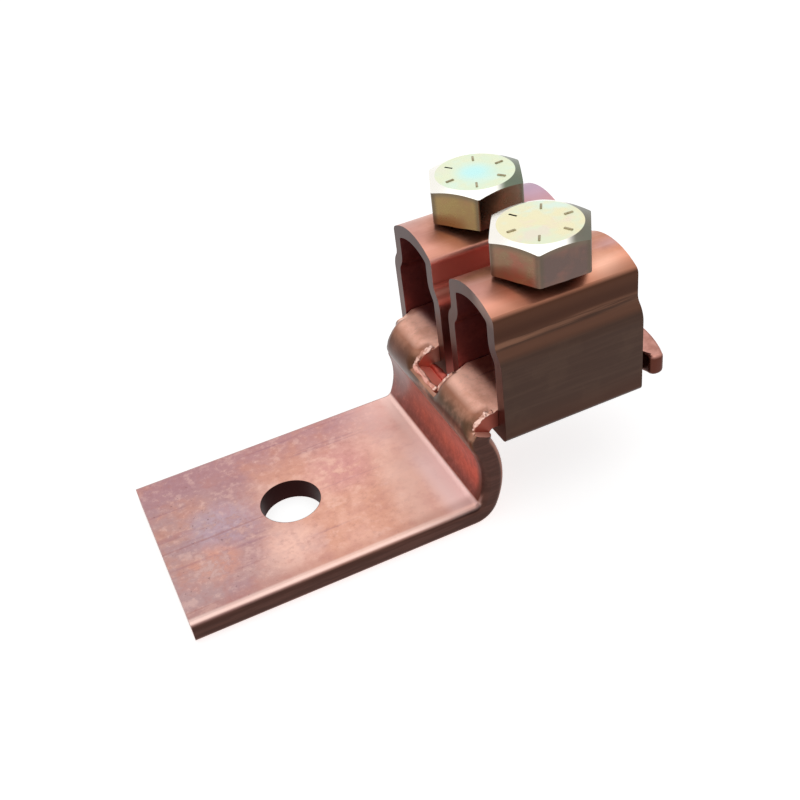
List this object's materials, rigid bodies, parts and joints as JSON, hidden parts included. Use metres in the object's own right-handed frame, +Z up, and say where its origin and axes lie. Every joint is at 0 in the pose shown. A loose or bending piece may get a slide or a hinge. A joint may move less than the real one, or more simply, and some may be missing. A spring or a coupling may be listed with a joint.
{
  "type": "offset mechanical lug",
  "caption": "Copper offset terminal lug: a drilled tongue and a bowed riser lead to forked prongs in formed collars, where hex bolts clamp bare conductors.",
  "frame": {"origin": "centre of the stud hole on the underside of the tongue", "axes": "+X from the tongue to the wire entry, +Z up along the stud hole, +Y to the left collar"},
  "size_m": [0.0817, 0.0374, 0.045],
  "materials": {
    "strap_copper": "mill-finish copper with light oxide",
    "collar_copper": "formed copper with brown oxide",
    "bolt_steel": "yellow zinc plated steel"
  },
  "bodies": {
    "lug": {"terminal_strap": "strap_copper", "left_collar": "collar_copper", "right_collar": "collar_copper"},
    "left_bolt": {"left_clamp_bolt": "bolt_steel"},
    "right_bolt": {"right_clamp_bolt": "bolt_steel"}
  },
  "joints": [
    {"name": "left_bolt_travel", "type": "slide", "parent": "lug", "child": "left_bolt", "axis": [0, 0, 1], "range_m": [-0.0002, 0.009]},
    {"name": "right_bolt_travel", "type": "slide", "parent": "lug", "child": "right_bolt", "axis": [0, 0, 1], "range_m": [-0.0002, 0.009]}
  ]
}
